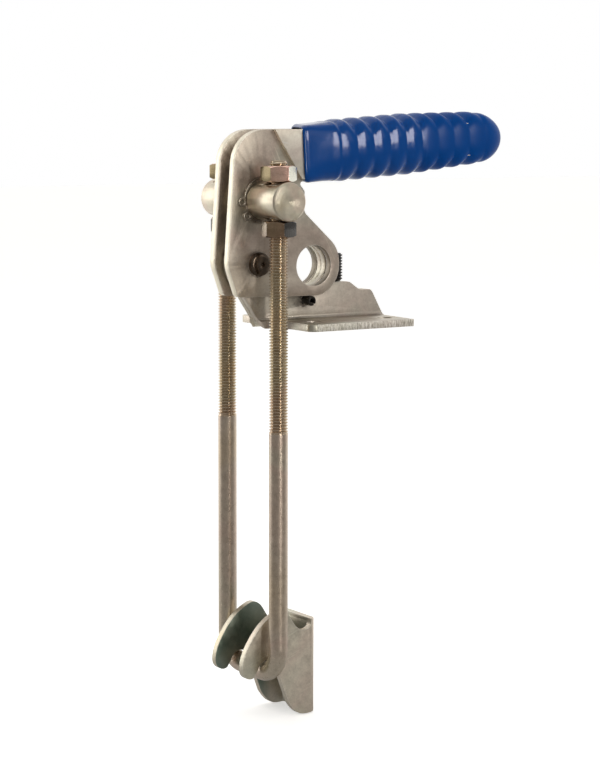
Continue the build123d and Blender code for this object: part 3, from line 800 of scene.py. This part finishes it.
def floor_material():
    """Pale and glowing to the camera and on the far side, dark for other rays nearby."""
    m = NodeMaterial("pale_floor")
    pale = m.mix(m.remap(m.noise(scale=3.0, detail=2.0), span=(0.3, 0.7)),
                 (0.92, 0.92, 0.915), (0.94, 0.94, 0.935))
    far_side = m.remap(m.vector_math("DOT_PRODUCT", m.coords, ROOM_AWAY), span=(-0.15, 0.45))
    camera_ray = m.node("ShaderNodeLightPath").outputs["Is Camera Ray"]
    glow = m.math("MAXIMUM", m.times(camera_ray, 0.5),
                  m.remap(far_side, span=(0.0, 1.0), to=(0.12, 0.50)))
    m.bsdf(Base_Color=m.mix(m.math("MAXIMUM", camera_ray, far_side), (0.20, 0.19, 0.18), pale),
           Roughness=0.9, Emission_Color=(1.0, 1.0, 0.995), Emission_Strength=glow)
    return m


def build_floor():
    z = cad_lo.z - FLOOR_GAP
    row = FLOOR_CELLS + 1
    places = [(i / FLOOR_CELLS - 0.5) * 2 * FLOOR_HALF_SIZE for i in range(row)]
    bm = bmesh.new()
    corners = [bm.verts.new((x, y, z)) for x in places for y in places]
    for i in range(FLOOR_CELLS):
        for j in range(FLOOR_CELLS):
            a = i * row + j
            bm.faces.new([corners[k] for k in (a, a + row, a + row + 1, a + 1)])
    mesh = bpy.data.meshes.new("studio_floor")
    bm.to_mesh(mesh)
    bm.free()
    obj = bpy.data.objects.new("studio_floor", mesh)
    scene.collection.objects.link(obj)
    mesh.materials.append(floor_material().material)
    return obj


floor = build_floor()


# --------------------------------------------------------------------- world
def build_world():
    """White to the camera; otherwise a white wall beyond the object in a darker room."""
    world = bpy.data.worlds.new("studio")
    scene.world = world
    world.use_nodes = True
    w = Nodes(world.node_tree)
    x, y, z = w.separate(w.texcoord("Generated"))
    away = w.add(w.times(x, ROOM_AWAY[0]), w.times(y, ROOM_AWAY[1]))
    wall = w.remap(away, span=(0.12, 0.45), interpolation="SMOOTHSTEP")
    wall_top = w.remap(z, span=(0.45, 0.82), to=(1.0, 0.12), interpolation="SMOOTHSTEP")
    ceiling = w.remap(z, span=(0.45, 0.95), to=(0.0, 0.12), interpolation="SMOOTHSTEP")
    level = w.add(w.times(w.times(wall, wall_top), 0.95), ceiling)
    ambient, brightest = 0.31, 1.08
    level = w.math("MINIMUM", w.add(level, ambient), brightest)
    warm = w.node("ShaderNodeCombineColor")
    w.feed(warm.inputs[0], level)
    w.feed(warm.inputs[1], w.times(level, 0.985))
    w.feed(warm.inputs[2], w.times(level, 0.955))
    choose = w.node("ShaderNodeMixShader")
    w.feed(choose.inputs[0], w.node("ShaderNodeLightPath").outputs["Is Camera Ray"])
    for i, color in ((1, warm.outputs[0]), (2, (1, 1, 1))):
        background = w.node("ShaderNodeBackground")
        w.feed(background.inputs[0], color)
        background.inputs[1].default_value = 1.0
        w.feed(choose.inputs[i], background.outputs[0])
    w.feed(w.node("ShaderNodeOutputWorld").inputs[0], choose.outputs[0])


build_world()


# -------------------------------------------------------------------- lights
def area(name, location, target, size, power, color=(1, 1, 1)):
    light = bpy.data.lights.new(name, "AREA")
    light.shape = "RECTANGLE"
    light.size, light.size_y = size
    light.energy = power
    light.color = color
    obj = bpy.data.objects.new(name, light)
    obj.location = location
    aim = Vector(target) - Vector(location)
    obj.rotation_euler = aim.to_track_quat("-Z", "Y").to_euler()
    scene.collection.objects.link(obj)
    return obj


def around(azimuth, elevation, distance):
    """A point about (0, 0, 0.07), angles in degrees; azimuth 0 is -Y, 90 is +X."""
    az, el = math.radians(azimuth), math.radians(elevation)
    return (math.sin(az) * math.cos(el) * distance, -math.cos(az) * math.cos(el) * distance,
            0.07 + math.sin(el) * distance)


# a tall window to the camera's right, seen only in the grip's gloss
window = area("window_right", around(azimuth=20.5, elevation=14.5, distance=2.5),
              target=(0.0, 0.0, 0.07), size=(0.86, 1.29), power=64.0, color=(1.0, 0.95, 0.97))
window.visible_diffuse = False
receivers = bpy.data.collections.new("window_receivers")
receivers.objects.link(grip)
window.light_linking.receiver_collection = receivers
area("softbox_right", (0.80, -1.02, 0.62), target=(0.02, 0, 0.06), size=(0.42, 0.75),
     power=0.9, color=(1.0, 0.975, 0.95))
area("softbox_front", around(azimuth=-5, elevation=12, distance=1.3),
     target=(0.0, 0.0, -0.03), size=(0.12, 1.1), power=5.6, color=(1.0, 0.96, 0.92))
area("wall_left", (-0.95, 1.35, 0.30), target=(0, 0, -0.03), size=(0.9, 1.2),
     power=5.0, color=(1.0, 0.99, 0.96))
area("top", (0.15, 0.45, 1.3), target=(0, 0, 0), size=(1.1, 1.1), power=3.2)

# -------------------------------------------------------------------- camera
CAMERA_PLACE = (-501.35, -811.29, 91.97)
CAMERA_YAW, CAMERA_PITCH, CAMERA_ROLL = 0.575842804, 0.121432686, 0.00209592870   # radians
FOCAL_LENGTH, SENSOR_WIDTH = 106.1501036, 36.0


def build_camera():
    """Yaw turns from +Y towards +X; pitch looks down."""
    yaw, pitch = CAMERA_YAW, CAMERA_PITCH
    forward = Vector((math.sin(yaw) * math.cos(pitch), math.cos(yaw) * math.cos(pitch),
                      -math.sin(pitch)))
    right = Vector((math.cos(yaw), -math.sin(yaw), 0.0))
    up = right.cross(forward)
    c, s = math.cos(CAMERA_ROLL), math.sin(CAMERA_ROLL)
    rotation = Matrix((right * c + up * s, right * -s + up * c, -forward)).transposed()
    data = bpy.data.cameras.new("camera")
    camera = bpy.data.objects.new("camera", data)
    scene.collection.objects.link(camera)
    place = Matrix.Translation(Vector(to_frame(*CAMERA_PLACE)))
    camera.matrix_world = place @ rotation.to_4x4()
    data.sensor_width = SENSOR_WIDTH
    data.lens = FOCAL_LENGTH
    data.clip_start, data.clip_end = 0.05, 50.0
    scene.camera = camera


build_camera()
scene.view_settings.view_transform = "Standard"
scene.view_settings.look = "None"
scene.view_settings.exposure = 0.0
scene.view_settings.gamma = 1.0
